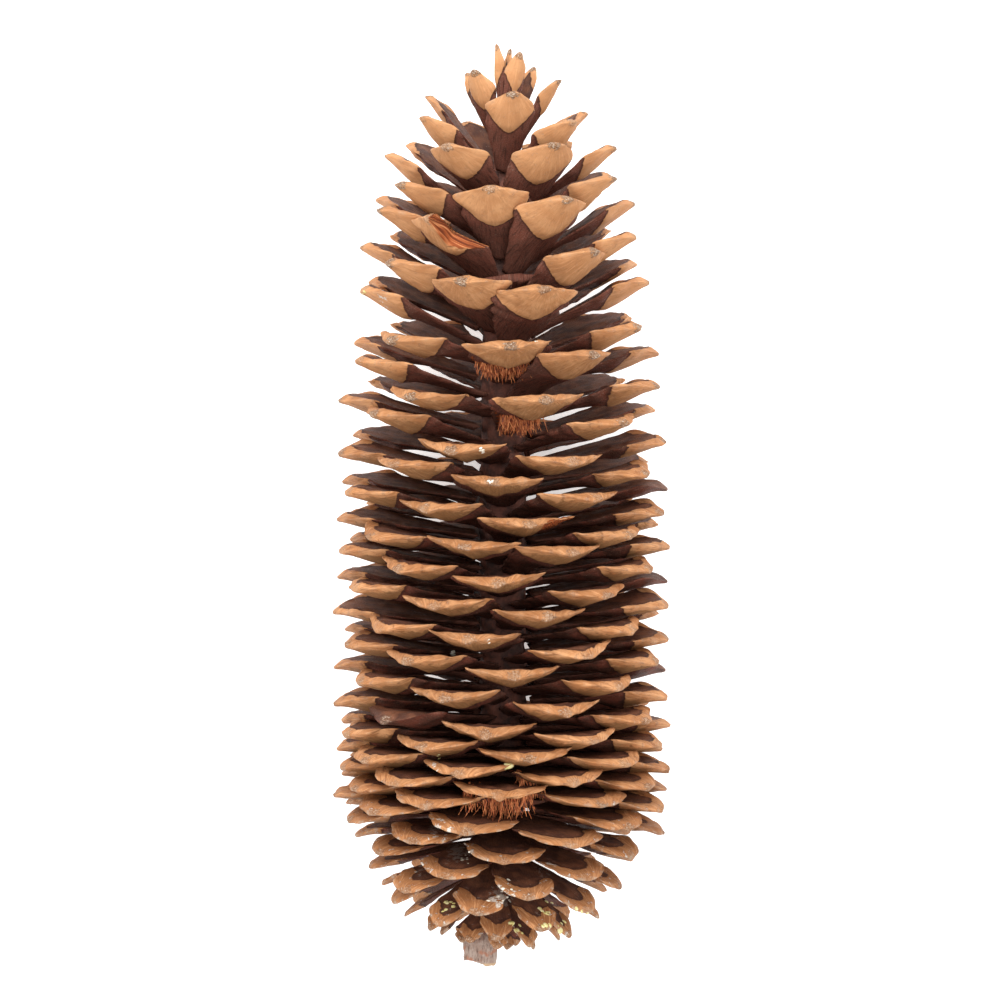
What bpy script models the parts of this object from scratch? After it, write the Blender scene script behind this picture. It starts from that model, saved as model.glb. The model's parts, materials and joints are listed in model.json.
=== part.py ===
# A ripe, open sugar pine cone lying on its side.
# The axis runs along +X, from the cut stalk to the tip, and the surface it lies on is z = 0.
# The scales sit on the core in one spiral, numbered from the tip down to the stalk.

import math
import random

import bmesh
import bpy
from mathutils import Vector

MM = 0.001
GAP = 0.3                         # mm between the stalk and the core

CONE_LENGTH = 342.0               # mm, from the stalk's cut end to the highest tip
AXIS_HEIGHT = 60.0 * MM           # the axis above the surface
SURFACE_SNAP = 0.25               # mm from the surface within which a corner lies on it
STEM_BEND = 9.2                   # mm that the axis leans aside at the stalk's cut end
BEND_REACH = 80.0                 # mm from the cut end over which that lean dies out

SCALE_COUNT = 265                 # scales in the spiral, number 0 being the closed tip
TURN = 99.45                      # degrees round the axis from one scale to the next
REFERENCE_SCALE = 84              # a scale that faces almost straight up
REFERENCE_ANGLE = -3.9            # its degrees round the axis from straight up
TWIST = 7.8                       # degrees that the core is twisted above the reference scale
TWIST_SCALES = 29                 # the number of scales over which it twists

# How the scales change down the cone, in millimetres and degrees: scale number, place of the
# root from the stalk's cut end, radius of the core, length, tilt toward the tip, width, depth
# of the keel
GROWTH = (
    (0, 307.5, 2.3, 32.0, 78.0, 8.0, 2.2),
    (4, 301.0, 3.2, 33.0, 59.0, 12.0, 3.2),
    (8, 292.5, 4.3, 38.0, 46.0, 18.0, 4.8),
    (18, 273.5, 5.8, 46.0, 34.0, 25.0, 6.5),
    (28, 257.5, 7.0, 48.5, 28.5, 28.0, 7.2),
    (44, 234.0, 8.0, 49.5, 20.0, 30.0, 7.8),
    (66, 197.0, 8.6, 53.0, 12.0, 32.5, 7.4),
    (84, 170.5, 9.0, 53.3, 8.5, 33.0, 7.0),
    (109, 142.0, 9.0, 53.5, 7.0, 33.0, 7.0),
    (139, 109.0, 9.0, 53.5, 5.0, 33.0, 6.6),
    (160, 88.0, 9.0, 53.5, 2.0, 33.0, 6.2),
    (189, 69.0, 9.0, 52.5, -1.5, 33.0, 4.5),
    (207, 59.0, 9.0, 52.5, -5.0, 32.0, 4.4),
    (218, 51.0, 8.5, 45.0, -10.0, 28.0, 4.0),
    (231, 42.0, 8.1, 40.0, -20.0, 21.0, 3.6),
    (239, 37.0, 8.0, 36.0, -29.0, 17.0, 3.2),
    (247, 30.5, 7.8, 28.5, -39.0, 12.0, 2.8),
    (257, 20.0, 7.6, 15.0, -52.0, 8.0, 2.2),
    (264, 14.5, 7.2, 7.5, -72.0, 7.0, 1.8),
)

# Rings from a scale's root to its tip: share of the length, of the width and of the keel
# depth, and how far the section's middle sinks, as a share of the keel depth
SCALE_RINGS = (
    (0.03, 0.30, 0.60, 0.00),
    (0.36, 0.66, 0.80, 0.02),
    (0.62, 0.92, 1.00, 0.14),
    (0.79, 1.00, 0.80, 0.03),
    (1.00, 0.20, 0.26, 0.00),
)
SCALE_BEND = 8.0                  # degrees that a scale curves downward from root to tip
CROWN_BEND = 4.0                  # the same on the topmost scale
CROWN_SCALES = 12                 # scales over which the crown's bend grows to the full bend
BEND_AT_ROOT = 0.45               # share of the bend by which the root stands steeper than the tilt
ROOT_WIDTH_LIMIT = 0.60           # widest root half-width, as a share of half the core's cell
ROOT_DEPTH_LIMIT = 0.45           # deepest root, as a share of the cell's height
SIDE_RISE = 0.44                  # how high a scale's side corners stand, as a share of its depth

# Spread of each scale about the rule: degrees, degrees, share of the length, degrees
TURN_SPREAD = 1.5
TILT_SPREAD = 1.0
LENGTH_SPREAD = 0.02
ROLL_SPREAD = 3.0
SIDE_ROLL = 8.0                   # how far the scales at the sides turn their upper faces up
CLOSE_SCALES = 140                # from this number down the scales stand close and spread less
CLOSE_SPREAD = 0.35               # their share of the spread
SPREAD_SEED = 1000

# Scales that lean away from the rule: extra degrees round the axis, extra degrees of tilt
LEANS = {
    15: (-8.0, -8.0), 19: (7.0, 6.0), 22: (-7.0, -7.0), 30: (-6.0, 6.0), 33: (-5.0, 4.0),
    41: (-5.0, 8.0), 43: (0.0, 3.0), 44: (-3.0, 0.0), 45: (0.0, 5.0), 47: (0.0, 6.0),
    48: (-7.0, 6.0), 51: (-5.0, -8.0), 55: (4.0, -2.0), 59: (0.0, 4.0), 62: (-6.0, -7.0),
    66: (3.0, 0.0), 73: (-2.0, -5.0), 77: (2.0, -3.0), 90: (0.0, 2.0), 98: (0.0, -2.0),
    105: (0.0, 1.5), 106: (0.0, 2.5), 109: (0.0, -1.5), 115: (0.0, 0.4), 119: (0.0, 0.3),
    123: (0.0, -0.9), 125: (0.0, 1.0), 127: (0.0, -0.5), 131: (-3.0, -1.0), 132: (0.0, -1.5),
    135: (1.0, 0.0), 153: (3.0, 0.0), 165: (0.0, 0.6), 182: (2.5, 0.0),
}
STUMPS = {37: 0.40, 200: 0.40}    # scales broken off, with the share of the length that is left

# The core's surface is a net of four-sided cells, one for each scale
CELL_RIGHT = 4
CELL_LEFT = 3
CELL_BELOW = 7
HALF_CELL = 0.5 * CELL_BELOW
CROWN_PLANE = 308.5               # mm, where the core ends under the closed tip
CROWN_RADIUS = 1.3
FOOT_PLANE = 12.0                 # mm, where the core ends at the stalk
FOOT_RADIUS = 7.2

# Rings of the closed tip: place along the axis, half-width and half-depth in millimetres
BUD_RINGS = (
    (315.0, 1.5, 1.1),
    (326.0, 2.8, 1.5),
    (336.0, 2.6, 1.3),
    (CONE_LENGTH, 0.8, 0.6),
)
BUD_TURN = -8.0                   # degrees that the closed tip's flat face is turned

STALK_RADIUS = 6.15
STALK_SIDES = 14
STALK_STEPS = (1.0, 0.79, 0.55, 0.31, 0.08, 0.0)   # rings, as shares of the stalk's length
STALK_ROUGHNESS = 0.05            # depth of the bark's lumps, as a share of the radius
CUT_SHRINK = 0.88                 # the worn rim of the cut end, as a share of the radius
BARK_SEED = 7
SHARP_EDGE = 35.0                 # degrees between two faces from which their edge looks sharp


def clear_scene():
    for item in list(bpy.data.objects):
        bpy.data.objects.remove(item, do_unlink=True)


def grown(number, column):
    """One column of GROWTH at any scale number, on a smooth curve through the rows."""
    rows = GROWTH
    last = len(rows) - 1
    spot = 0
    while spot < last - 1 and number > rows[spot + 1][0]:
        spot += 1
    left, right = rows[spot], rows[spot + 1]
    span = right[0] - left[0]
    share = (number - left[0]) / span
    slope = (right[column] - left[column]) / span
    slope_in = slope
    slope_out = slope
    if spot > 0:
        before = rows[spot - 1]
        slope_in = 0.5 * (slope + (left[column] - before[column]) / (left[0] - before[0]))
    if spot < last - 1:
        after = rows[spot + 2]
        slope_out = 0.5 * (slope + (after[column] - right[column]) / (after[0] - right[0]))
    if share < 0.0 or share > 1.0:
        return left[column] + slope * (number - left[0])
    square = share * share
    cube = square * share
    return ((2 * cube - 3 * square + 1) * left[column]
            + (cube - 2 * square + share) * span * slope_in
            + (3 * square - 2 * cube) * right[column]
            + (cube - square) * span * slope_out)


def scale_angle(number):
    """Degrees round the axis, from straight up toward -Y, of a scale's root."""
    twisted = min(1.0, max(0.0, (REFERENCE_SCALE - number) / TWIST_SCALES))
    return REFERENCE_ANGLE + TURN * (number - REFERENCE_SCALE) + TWIST * twisted


def axis_frame(station):
    """The axis point at a station, with the directions along, up and aside there."""
    left = max(0.0, 1.0 - station / BEND_REACH)
    lean = STEM_BEND * left * left
    lean_slope = -2.0 * STEM_BEND * left / BEND_REACH
    along = Vector((1.0, lean_slope, 0.0)).normalized()
    up = Vector((0.0, 0.0, 1.0))
    aside = along.cross(up)
    centre = Vector(((station - 0.5 * CONE_LENGTH) * MM, lean * MM, AXIS_HEIGHT))
    return centre, along, up, aside


def around(station, radius, degrees):
    """The point at a station, radius and angle round the axis."""
    centre, along, up, aside = axis_frame(station)
    angle = math.radians(degrees)
    return centre + radius * MM * (math.cos(angle) * up + math.sin(angle) * aside)


def scale_rings(number):
    """The four-cornered rings of one scale: upper face, one side, keel, other side."""
    draw = random.Random(SPREAD_SEED + number)
    close = 1.0 if number < CLOSE_SCALES else CLOSE_SPREAD
    lean_turn, lean_tilt = LEANS.get(number, (0.0, 0.0))
    turned = scale_angle(number) + lean_turn + close * draw.uniform(-TURN_SPREAD, TURN_SPREAD)
    angle = math.radians(turned)
    tilt = grown(number, 4) + lean_tilt + close * draw.uniform(-TILT_SPREAD, TILT_SPREAD)
    length = grown(number, 3) * (1.0 + draw.uniform(-LENGTH_SPREAD, LENGTH_SPREAD))
    roll = math.radians(close * (draw.uniform(-ROLL_SPREAD, ROLL_SPREAD)
                                 - SIDE_ROLL * math.sin(angle)))
    station = grown(number, 1)
    radius = grown(number, 2)
    width = grown(number, 5)
    depth = grown(number, 6)
    cell_height = grown(number - HALF_CELL, 1) - grown(number + HALF_CELL, 1)
    half_cell = radius * math.sin(math.radians(0.5 * TURN))

    bend = CROWN_BEND + (SCALE_BEND - CROWN_BEND) * min(1.0, number / CROWN_SCALES)
    start = math.radians(tilt + BEND_AT_ROOT * bend)
    turn = -math.radians(bend)

    centre, along, up, aside = axis_frame(station)
    outward = math.cos(angle) * up + math.sin(angle) * aside
    sideways = math.cos(angle) * aside - math.sin(angle) * up
    root = centre + radius * MM * outward

    rings = []
    for share, width_share, depth_share, sink_share in SCALE_RINGS:
        if share > STUMPS.get(number, 1.0):
            break
        slope = start + turn * share
        out = length / turn * (math.sin(slope) - math.sin(start))
        rise = length / turn * (math.cos(start) - math.cos(slope))
        flat_normal = math.cos(slope) * along - math.sin(slope) * outward
        normal = math.cos(roll) * flat_normal + math.sin(roll) * sideways
        middle = root + MM * (out * outward + rise * along - sink_share * depth * normal)
        side = math.cos(roll) * sideways - math.sin(roll) * flat_normal
        half_width = 0.5 * width * width_share
        thick = depth * depth_share
        if share == SCALE_RINGS[0][0]:
            half_width = min(half_width, ROOT_WIDTH_LIMIT * half_cell)
            thick = min(thick, ROOT_DEPTH_LIMIT * cell_height)
        rings.append((
            middle + 0.5 * thick * MM * normal,
            middle + (half_width * side + SIDE_RISE * thick * normal) * MM,
            middle - 0.5 * thick * MM * normal,
            middle + (-half_width * side + SIDE_RISE * thick * normal) * MM,
        ))
    return rings


def loft(bm, face, rings):
    """Grow a face outward through rings of points, and return the last face."""
    for ring in rings:
        face = bmesh.ops.extrude_discrete_faces(bm, faces=[face])["faces"][0]
        for vert, place in zip(face.verts, ring):
            vert.co = place
    return face


def core_net(bm):
    """The core's vertices: corner n is the top of scale n's cell and the foot of scale n - 7's."""
    corners = {}
    last = SCALE_COUNT + CELL_BELOW - 1
    for corner in range(1, last + 1):
        number = corner - HALF_CELL
        station = grown(number, 1)
        radius = grown(number, 2)
        if corner <= CELL_BELOW:
            station = CROWN_PLANE
            radius = CROWN_RADIUS
        if corner >= SCALE_COUNT:
            station = FOOT_PLANE
            radius = FOOT_RADIUS
        corners[corner] = bm.verts.new(around(station, radius, scale_angle(number)))
    return corners


def end_face(bm, corners, first):
    """The seven-sided face that closes the core, through the corners from number first on."""
    order = [first + (CELL_LEFT * step) % CELL_BELOW for step in range(CELL_BELOW)]
    return bm.faces.new([corners[corner] for corner in order])


def bud_rings(face):
    """Rings that draw the core's top face out into the flattened, closed tip."""
    angles = []
    for vert in face.verts:
        centre, along, up, aside = axis_frame(CROWN_PLANE)
        offset = vert.co - centre
        angles.append(math.atan2(offset.dot(aside), offset.dot(up)))
    turn = math.radians(BUD_TURN)
    rings = []
    for station, half_width, half_depth in BUD_RINGS:
        centre, along, up, aside = axis_frame(station)
        broad = math.cos(turn) * aside - math.sin(turn) * up
        thin = math.cos(turn) * up + math.sin(turn) * aside
        rings.append([
            centre + MM * (half_depth * math.cos(angle - turn) * thin
                           + half_width * math.sin(angle - turn) * broad)
            for angle in angles
        ])
    return rings


def close_rims(bm):
    """Put a face on every open rim."""
    rims = [edge for edge in bm.edges if edge.is_boundary]
    bmesh.ops.holes_fill(bm, edges=rims, sides=0)


def wear_flat(bm):
    """Cut the tips that would reach below the surface, and close the cuts."""
    for vert in bm.verts:
        if abs(vert.co.z) < SURFACE_SNAP * MM:
            vert.co.z = 0.0
    everything = bm.verts[:] + bm.edges[:] + bm.faces[:]
    bmesh.ops.bisect_plane(bm, geom=everything, dist=1e-6, plane_co=(0.0, 0.0, 0.0),
                           plane_no=(0.0, 0.0, -1.0), clear_outer=True)
    close_rims(bm)


def finish_mesh(bm, name, material):
    """Close the mesh off as one named object with its material."""
    bmesh.ops.triangulate(bm, faces=bm.faces[:])
    bmesh.ops.recalc_face_normals(bm, faces=bm.faces[:])
    mesh = bpy.data.meshes.new(name)
    bm.to_mesh(mesh)
    bm.free()
    mesh.shade_smooth()
    mesh.set_sharp_from_angle(angle=math.radians(SHARP_EDGE))
    mesh.materials.append(material)
    item = bpy.data.objects.new(name, mesh)
    bpy.context.scene.collection.objects.link(item)
    return item


def wood(name, colour, roughness):
    """A plain woody material."""
    material = bpy.data.materials.new(name)
    material.use_nodes = True
    shader = material.node_tree.nodes["Principled BSDF"]
    shader.inputs["Base Color"].default_value = (*colour, 1.0)
    shader.inputs["Roughness"].default_value = roughness
    shader.inputs["Metallic"].default_value = 0.0
    return material


def make_cone():
    """The core and every scale, grown as one body."""
    bm = bmesh.new()
    corners = core_net(bm)
    cells = {}
    for number in range(1, SCALE_COUNT):
        cells[number] = bm.faces.new((
            corners[number],
            corners[number + CELL_RIGHT],
            corners[number + CELL_BELOW],
            corners[number + CELL_LEFT],
        ))
    crown = end_face(bm, corners, 1)
    end_face(bm, corners, SCALE_COUNT)
    for number, cell in cells.items():
        loft(bm, cell, scale_rings(number))
    loft(bm, crown, bud_rings(crown))
    bmesh.ops.triangulate(bm, faces=bm.faces[:])
    wear_flat(bm)
    return finish_mesh(bm, "cone", wood("scale wood", (0.42, 0.22, 0.10), 0.62))


def make_stalk():
    """The bark-covered stub that the cone hung from, down to its cut end."""
    draw = random.Random(BARK_SEED)
    bm = bmesh.new()
    rings = []
    for step in STALK_STEPS:
        station = step * (FOOT_PLANE - GAP)
        rim = CUT_SHRINK if step == STALK_STEPS[-1] else 1.0
        ring = []
        for side in range(STALK_SIDES):
            lump = 1.0 + draw.uniform(-STALK_ROUGHNESS, STALK_ROUGHNESS)
            ring.append(around(station, STALK_RADIUS * lump * rim, side * 360.0 / STALK_SIDES))
        rings.append(ring)
    foot = bm.faces.new([bm.verts.new(place) for place in rings[0]])
    loft(bm, foot, rings[1:])
    close_rims(bm)
    return finish_mesh(bm, "stalk", wood("stalk bark", (0.26, 0.21, 0.17), 0.85))


clear_scene()
make_cone()
make_stalk()
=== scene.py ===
import json
import math
import random
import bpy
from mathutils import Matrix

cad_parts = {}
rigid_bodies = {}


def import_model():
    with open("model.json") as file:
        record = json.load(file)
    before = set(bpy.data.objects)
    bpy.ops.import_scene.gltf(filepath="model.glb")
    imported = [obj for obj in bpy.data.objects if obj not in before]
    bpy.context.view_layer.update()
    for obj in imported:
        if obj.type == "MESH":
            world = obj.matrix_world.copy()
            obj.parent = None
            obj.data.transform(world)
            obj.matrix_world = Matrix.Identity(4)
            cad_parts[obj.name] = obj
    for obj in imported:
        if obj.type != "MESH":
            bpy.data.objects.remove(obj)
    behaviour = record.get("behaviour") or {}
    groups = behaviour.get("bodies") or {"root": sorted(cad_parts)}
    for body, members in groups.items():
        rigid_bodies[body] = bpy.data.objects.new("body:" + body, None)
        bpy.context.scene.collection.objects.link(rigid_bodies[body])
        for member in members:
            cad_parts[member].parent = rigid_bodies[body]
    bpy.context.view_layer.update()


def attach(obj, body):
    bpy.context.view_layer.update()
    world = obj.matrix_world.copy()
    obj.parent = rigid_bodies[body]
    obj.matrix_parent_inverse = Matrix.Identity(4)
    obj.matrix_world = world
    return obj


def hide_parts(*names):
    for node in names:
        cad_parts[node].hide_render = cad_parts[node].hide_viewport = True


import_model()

from types import SimpleNamespace

import bmesh
import bpy
import numpy as np
from mathutils import Matrix, Vector, noise
from mathutils.bvhtree import BVHTree

millimetre = 0.001

# the spiral that the scales grow in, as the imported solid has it
cone = {
    "length": 342.0,             # from the stalk's cut end to the highest tip
    "axisHeight": 60.0,
    "stemBend": 9.2,
    "bendReach": 80.0,
    "scaleCount": 265,
    "turn": 99.45,               # degrees from scale to scale
    "referenceScale": 84,
    "referenceAngle": -3.9,
    "twist": 7.8,
    "twistScales": 29,
    # scale number, root from the cut end, core radius, length, tilt, width, keel depth
    "growth": (
        (0, 307.5, 2.3, 32.0, 78.0, 8.0, 2.2),
        (4, 301.0, 3.2, 33.0, 59.0, 12.0, 3.2),
        (8, 292.5, 4.3, 38.0, 46.0, 18.0, 4.8),
        (18, 273.5, 5.8, 46.0, 34.0, 25.0, 6.5),
        (28, 257.5, 7.0, 48.5, 28.5, 28.0, 7.2),
        (44, 234.0, 8.0, 49.5, 20.0, 30.0, 7.8),
        (66, 197.0, 8.6, 53.0, 12.0, 32.5, 7.4),
        (84, 170.5, 9.0, 53.3, 8.5, 33.0, 7.0),
        (109, 142.0, 9.0, 53.5, 7.0, 33.0, 7.0),
        (139, 109.0, 9.0, 53.5, 5.0, 33.0, 6.6),
        (160, 88.0, 9.0, 53.5, 2.0, 33.0, 6.2),
        (189, 69.0, 9.0, 52.5, -1.5, 33.0, 4.5),
        (207, 59.0, 9.0, 52.5, -5.0, 32.0, 4.4),
        (218, 51.0, 8.5, 45.0, -10.0, 28.0, 4.0),
        (231, 42.0, 8.1, 40.0, -20.0, 21.0, 3.6),
        (239, 37.0, 8.0, 36.0, -29.0, 17.0, 3.2),
        (247, 30.5, 7.8, 28.5, -39.0, 12.0, 2.8),
        (257, 20.0, 7.6, 15.0, -52.0, 8.0, 2.2),
        (264, 14.5, 7.2, 7.5, -72.0, 7.0, 1.8),
    ),
    "bend": 8.0,                 # degrees a scale curves downward
    "crownBend": 4.0,
    "crownScales": 12,
    "bendAtRoot": 0.45,
    "turnSpread": 1.5,
    "tiltSpread": 1.0,
    "lengthSpread": 0.02,
    "rollSpread": 3.0,
    "sideRoll": 8.0,             # how far the scales at the sides turn their upper faces up
    "closeScales": 140,
    "closeSpread": 0.35,
    "seed": 1000,
    # scales that lean away from the rule: degrees round the axis, degrees of tilt
    "leans": {
        15: (-8.0, -8.0), 19: (7.0, 6.0), 22: (-7.0, -7.0), 30: (-6.0, 6.0), 33: (-5.0, 4.0),
        41: (-5.0, 8.0), 43: (0.0, 3.0), 44: (-3.0, 0.0), 45: (0.0, 5.0), 47: (0.0, 6.0),
        48: (-7.0, 6.0), 51: (-5.0, -8.0), 55: (4.0, -2.0), 59: (0.0, 4.0), 62: (-6.0, -7.0),
        66: (3.0, 0.0), 73: (-2.0, -5.0), 77: (2.0, -3.0), 90: (0.0, 2.0), 98: (0.0, -2.0),
        105: (0.0, 1.5), 106: (0.0, 2.5), 109: (0.0, -1.5), 115: (0.0, 0.4), 119: (0.0, 0.3),
        123: (0.0, -0.9), 125: (0.0, 1.0), 127: (0.0, -0.5), 131: (-3.0, -1.0), 132: (0.0, -1.5),
        135: (1.0, 0.0), 153: (3.0, 0.0), 165: (0.0, 0.6), 182: (2.5, 0.0),
    },
    "stumps": {37: 0.40, 200: 0.40},     # broken off, with the share of the length left
}


def spline(knots, column, place):
    # a smooth curve through one column of the knots, straight beyond its ends
    places = np.array([knot[0] for knot in knots], float)
    values = np.array([knot[column] for knot in knots], float)
    place = np.asarray(place, float)
    rises = np.diff(values) / np.diff(places)
    slopes = np.concatenate(([rises[0]], 0.5 * (rises[:-1] + rises[1:]), [rises[-1]]))
    spot = np.clip(np.searchsorted(places, place, side="left") - 1, 0, len(places) - 2)
    span = places[spot + 1] - places[spot]
    part = (place - places[spot]) / span
    inside = np.clip(part, 0.0, 1.0)
    square = inside * inside
    cube = square * inside
    curve = ((2 * cube - 3 * square + 1) * values[spot]
             + (cube - 2 * square + inside) * span * slopes[spot]
             + (3 * square - 2 * cube) * values[spot + 1]
             + (cube - square) * span * slopes[spot + 1])
    return np.where(part == inside, curve, values[spot] + rises[spot] * (place - places[spot]))


def smooth(low, high, value):
    part = np.clip((value - low) / (high - low), 0.0, 1.0)
    return part * part * (3.0 - 2.0 * part)


def scaleAngle(number):
    twisted = min(1.0, max(0.0, (cone["referenceScale"] - number) / cone["twistScales"]))
    turned = cone["turn"] * (number - cone["referenceScale"])
    return cone["referenceAngle"] + turned + cone["twist"] * twisted


def axisFrame(station):
    # the axis point at a station, with the directions along, up and aside there
    left = max(0.0, 1.0 - station / cone["bendReach"])
    lean = cone["stemBend"] * left * left
    leanSlope = -2.0 * cone["stemBend"] * left / cone["bendReach"]
    along = np.array((1.0, leanSlope, 0.0))
    along /= np.linalg.norm(along)
    up = np.array((0.0, 0.0, 1.0))
    aside = np.cross(along, up)
    centre = np.array((station - 0.5 * cone["length"], lean, cone["axisHeight"]))
    return centre, along, up, aside


def newObject(name, data):
    made = bpy.data.objects.new(name, data)
    bpy.context.scene.collection.objects.link(made)
    return made


def meshFrom(bm, name):
    mesh = bpy.data.meshes.new(name)
    bm.to_mesh(mesh)
    bm.free()
    return mesh


def vertexPlaces(mesh):
    places = np.zeros(len(mesh.vertices) * 3)
    mesh.vertices.foreach_get("co", places)
    return places.reshape(-1, 3)


def newPiece(name, mesh, material, node):
    # makes a finished mesh a smooth-shaded piece that stands for a solid
    mesh.shade_smooth()
    mesh.materials.append(material)
    piece = newObject(name, mesh)
    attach(piece, "root")
    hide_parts(node)
    return piece


# camera straight over the middle of the cone, its top edge toward the cone's tip
view = {
    "distance": 1.28,            # from the cone's axis
    "pixel": 0.000371,           # metres to a pixel of the picture at the axis
    "pixels": 1000,
    "sensor": 36.0,
    "aimAlong": 0.0008,
    "aimAside": 0.0011,
}


def makeCamera():
    data = bpy.data.cameras.new("camera")
    data.sensor_width = view["sensor"]
    data.lens = view["sensor"] * view["distance"] / (view["pixel"] * view["pixels"])
    data.clip_start = 0.05
    data.clip_end = 20.0
    camera = newObject("camera", data)
    height = view["distance"] + cone["axisHeight"] * millimetre
    camera.location = (view["aimAlong"], view["aimAside"], height)
    camera.rotation_euler = (0.0, 0.0, math.radians(-90.0))
    bpy.context.scene.camera = camera


# a soft white studio: a broad light toward the tip, a front fill, a side fill and a pale room
studio = {
    "room": (1.0, 1.0, 1.0),
    "roomStrength": 0.86,
    "lights": (
        # name, place, size, watts
        ("key", (0.85, 0.20, 1.25), 0.9, 16.0),
        ("front", (-0.10, -0.35, 1.75), 1.2, 19.0),
        ("side", (-0.55, 0.95, 0.9), 0.9, 3.5),
    ),
    "floorSize": 6.0,
    "floorColour": (0.92, 0.92, 0.92),
    "floorRoughness": 0.7,
    "floorGlow": 0.45,           # a light table
}


def makeStudio():
    world = bpy.data.worlds.new("room")
    world.use_nodes = True
    background = world.node_tree.nodes["Background"]
    background.inputs["Color"].default_value = (*studio["room"], 1.0)
    background.inputs["Strength"].default_value = studio["roomStrength"]
    bpy.context.scene.world = world
    bpy.context.scene.view_settings.view_transform = "Standard"
    target = Vector((0.0, 0.0, cone["axisHeight"] * millimetre))
    for name, place, size, watts in studio["lights"]:
        data = bpy.data.lights.new(name, "AREA")
        data.size = size
        data.energy = watts
        light = newObject(name, data)
        light.location = place
        light.rotation_euler = (target - Vector(place)).to_track_quat("-Z", "Y").to_euler()
    bm = bmesh.new()
    bmesh.ops.create_grid(bm, x_segments=1, y_segments=1, size=0.5 * studio["floorSize"])
    mesh = meshFrom(bm, "floor")
    material = bpy.data.materials.new("pale floor")
    material.use_nodes = True
    shader = material.node_tree.nodes["Principled BSDF"]
    shader.inputs["Base Color"].default_value = (*studio["floorColour"], 1.0)
    shader.inputs["Roughness"].default_value = studio["floorRoughness"]
    shader.inputs["Emission Color"].default_value = (1.0, 1.0, 1.0, 1.0)
    shader.inputs["Emission Strength"].default_value = studio["floorGlow"]
    mesh.materials.append(material)
    newObject("floor", mesh)


class Nodes:
    # short ways to add and join the nodes of one material
    def __init__(self, name):
        self.material = bpy.data.materials.new(name)
        self.material.use_nodes = True
        self.tree = self.material.node_tree
        self.shader = self.tree.nodes["Principled BSDF"]

    def put(self, socket, value):
        if isinstance(value, bpy.types.NodeSocket):
            self.tree.links.new(value, socket)
        elif isinstance(value, tuple) and len(value) == 3 and socket.type == "RGBA":
            socket.default_value = (*value, 1.0)
        else:
            socket.default_value = value

    def math(self, operation, first, second=None, third=None):
        node = self.tree.nodes.new("ShaderNodeMath")
        node.operation = operation
        for socket, value in zip(node.inputs, (first, second, third)):
            if value is not None:
                self.put(socket, value)
        return node.outputs[0]

    def times(self, first, second):
        return self.math("MULTIPLY", first, second)

    def minus(self, first, second):
        return self.math("SUBTRACT", first, second)

    def attribute(self, name):
        node = self.tree.nodes.new("ShaderNodeAttribute")
        node.attribute_name = name
        return self.parts(node.outputs["Vector"])

    def vector(self, x, y, z):
        node = self.tree.nodes.new("ShaderNodeCombineXYZ")
        for socket, value in zip(node.inputs, (x, y, z)):
            self.put(socket, value)
        return node.outputs[0]

    def noise(self, vector, scale, detail=2.0, roughness=0.5):
        node = self.tree.nodes.new("ShaderNodeTexNoise")
        self.put(node.inputs["Vector"], vector)
        for name, value in (("Scale", scale), ("Detail", detail), ("Roughness", roughness)):
            node.inputs[name].default_value = value
        return node.outputs["Fac"]

    def cells(self, vector, scale):
        node = self.tree.nodes.new("ShaderNodeTexVoronoi")
        self.put(node.inputs["Vector"], vector)
        node.inputs["Scale"].default_value = scale
        return node.outputs["Distance"]

    def between(self, value, low, high, start=0.0, end=1.0):
        node = self.tree.nodes.new("ShaderNodeMapRange")
        node.interpolation_type = "SMOOTHSTEP"
        for name, setting in (("Value", value), ("From Min", low), ("From Max", high),
                              ("To Min", start), ("To Max", end)):
            self.put(node.inputs[name], setting)
        return node.outputs["Result"]

    def mix(self, factor, first, second):
        node = self.tree.nodes.new("ShaderNodeMix")
        node.data_type = "RGBA"
        self.put(node.inputs[0], factor)
        self.put(node.inputs[6], first)
        self.put(node.inputs[7], second)
        return node.outputs[2]

    def parts(self, vector):
        node = self.tree.nodes.new("ShaderNodeSeparateXYZ")
        self.put(node.inputs[0], vector)
        return node.outputs[0], node.outputs[1], node.outputs[2]

    def objectPlace(self):
        return self.tree.nodes.new("ShaderNodeTexCoord").outputs["Object"]

    def finish(self, colour, roughness, height=None, distance=0.0, strength=1.0):
        # the shader's colour, roughness and fine relief
        self.put(self.shader.inputs["Base Color"], colour)
        self.put(self.shader.inputs["Roughness"], roughness)
        if height is not None:
            node = self.tree.nodes.new("ShaderNodeBump")
            node.inputs["Strength"].default_value = strength
            node.inputs["Distance"].default_value = distance
            self.put(node.inputs["Height"], height)
            self.put(self.shader.inputs["Normal"], node.outputs[0])
        return self.material


# colours of the woody scales, linear
scaleColours = {
    "tanLight": (0.64, 0.330, 0.155),
    "tan": (0.480, 0.210, 0.084),
    "tanBrown": (0.300, 0.125, 0.050),
    "tanDark": (0.200, 0.072, 0.030),
    # painted shade: a darker olive tan for the lower half of the ends, as if out of the light
    "tanPaintedShade": (0.205, 0.104, 0.043),
    "weathered": (0.46, 0.36, 0.27),
    "bodyRed": (0.170, 0.050, 0.031),
    "body": (0.090, 0.038, 0.026),
    "bodyCrown": (0.215, 0.082, 0.056),
    "bodyDark": (0.042, 0.020, 0.015),
    # painted fill light: a lighter brown that lifts the wood deep inside the cone
    "bodyPaintedFill": (0.170, 0.072, 0.050),
    "upper": (0.185, 0.076, 0.042),
    "speck": (0.34, 0.25, 0.19),
    "scar": (0.260, 0.155, 0.095),
    "scarDark": (0.085, 0.045, 0.028),
    "resin": (0.80, 0.76, 0.68),
    "torn": (0.44, 0.115, 0.035),
    "tornDark": (0.110, 0.028, 0.014),
}


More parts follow.
